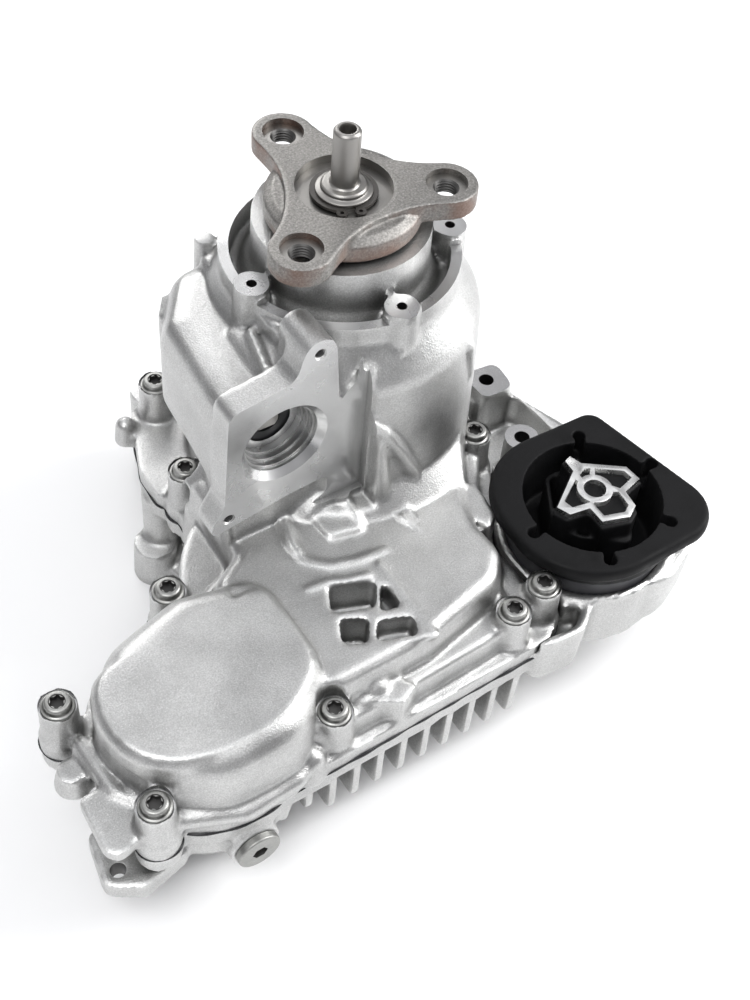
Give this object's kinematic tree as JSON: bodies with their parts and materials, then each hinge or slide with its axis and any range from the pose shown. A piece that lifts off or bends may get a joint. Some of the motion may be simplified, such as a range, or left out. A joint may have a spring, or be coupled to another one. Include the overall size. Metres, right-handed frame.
{
  "type": "transfer case",
  "caption": "Two-axis transfer case with cast housings, three-arm rear output flange, geared front output, clutch with worm-driven ball ramp, and a rubber mount.",
  "frame": {"origin": "on the main axis at the gearbox mating face", "axes": "+Z along the main axis towards the rear output flange, +X along the finned front edge towards the rubber mount"},
  "size_m": [0.3515, 0.288, 0.277],
  "materials": {
    "cast_aluminium": "shot-blasted satin casting with machined faces",
    "black_sealant": "cured black sealant",
    "zinc_steel": "zinc-plated steel, satin",
    "phosphated_steel": "phosphated spring steel",
    "forged_steel": "forged, shot-blasted, with heat tint on its edges",
    "ground_steel": "turned and ground",
    "gear_steel": "machined and case-hardened",
    "bearing_steel": "ground bearing steel",
    "friction_lining": "paper-based lining",
    "bronze": "sintered bronze",
    "seal_rubber": "moulded seal rubber",
    "mount_rubber": "moulded black rubber, matt",
    "black_sleeve": "black-coated pressed steel",
    "extruded_aluminium": "saw-cut extrusion"
  },
  "bodies": {
    "case": {"front_housing": "cast_aluminium", "rear_housing": "cast_aluminium", "seam_sealant": "black_sealant", "housing_screws": "zinc_steel", "locating_dowels": "zinc_steel", "drain_plug": "zinc_steel", "fill_plug": "zinc_steel", "mount_sleeve": "black_sleeve", "rubber_mount": "mount_rubber", "mount_core": "extruded_aluminium", "input_seal": "seal_rubber", "front_main_bearing": "bearing_steel", "rear_main_bearing": "bearing_steel", "rear_shaft_seal": "seal_rubber", "idler_pin": "ground_steel", "front_output_lower_bearing": "bearing_steel", "front_output_upper_bearing": "bearing_steel", "front_output_seal": "seal_rubber", "worm_front_bearing": "bearing_steel", "worm_rear_bearing": "bearing_steel", "worm_seal": "seal_rubber", "ring_bearing": "bearing_steel"},
    "main_shaft": {"main_shaft": "ground_steel", "output_flange": "forged_steel", "flange_circlip": "phosphated_steel", "clutch_hub": "gear_steel", "friction_plates": "friction_lining"},
    "front_drive": {"drive_gear": "gear_steel", "clutch_drum": "gear_steel", "steel_plates": "bearing_steel"},
    "pressure_plate": {"pressure_plate": "bearing_steel"},
    "idler": {"idler_gear": "gear_steel", "idler_bush": "bronze"},
    "front_output": {"front_output_shaft": "ground_steel", "front_output_gear": "gear_steel"},
    "ramp_ring": {"ramp_ring": "bearing_steel", "thrust_bearing": "bearing_steel"},
    "control_ring": {"control_ring": "gear_steel", "ramp_balls": "bearing_steel"},
    "actuator_worm": {"actuator_worm": "ground_steel"}
  },
  "joints": [
    {"name": "main_shaft_spin", "type": "hinge", "parent": "case", "child": "main_shaft", "pos_m": [0, 0, 0], "axis": [0, 0, 1], "continuous": true},
    {"name": "front_drive_spin", "type": "hinge", "parent": "case", "child": "front_drive", "pos_m": [0, 0, 0], "axis": [0, 0, 1], "continuous": true},
    {"name": "idler_spin", "type": "hinge", "parent": "case", "child": "idler", "pos_m": [-0.0537, -0.08317, 0], "axis": [0, 0, 1], "continuous": true},
    {"name": "front_output_spin", "type": "hinge", "parent": "case", "child": "front_output", "pos_m": [-0.1452, -0.12098, 0], "axis": [0, 0, 1], "continuous": true},
    {"name": "worm_turn", "type": "hinge", "parent": "case", "child": "actuator_worm", "pos_m": [-0.0663, 0, 0.1647], "axis": [0, 1, 0], "range_deg": [-12, 2292]},
    {"name": "control_ring_turn", "type": "hinge", "parent": "case", "child": "control_ring", "pos_m": [0, 0, 0], "axis": [0, 0, 1], "range_deg": [0, 40]},
    {"name": "ramp_ring_slide", "type": "slide", "parent": "case", "child": "ramp_ring", "axis": [0, 0, -1], "range_m": [-0.00002, 0.00122]},
    {"name": "pressure_plate_slide", "type": "slide", "parent": "front_drive", "child": "pressure_plate", "axis": [0, 0, -1], "range_m": [-0.00002, 0.00122]}
  ],
  "couplings": [
    {"joint": "idler_spin", "follows": "front_drive_spin", "ratio": -0.65},
    {"joint": "front_output_spin", "follows": "front_drive_spin", "ratio": 1},
    {"joint": "worm_turn", "follows": "control_ring_turn", "ratio": 57},
    {"joint": "ramp_ring_slide", "follows": "control_ring_turn", "m_per_rad": 0.0017189},
    {"joint": "pressure_plate_slide", "follows": "control_ring_turn", "m_per_rad": 0.0017189}
  ]
}
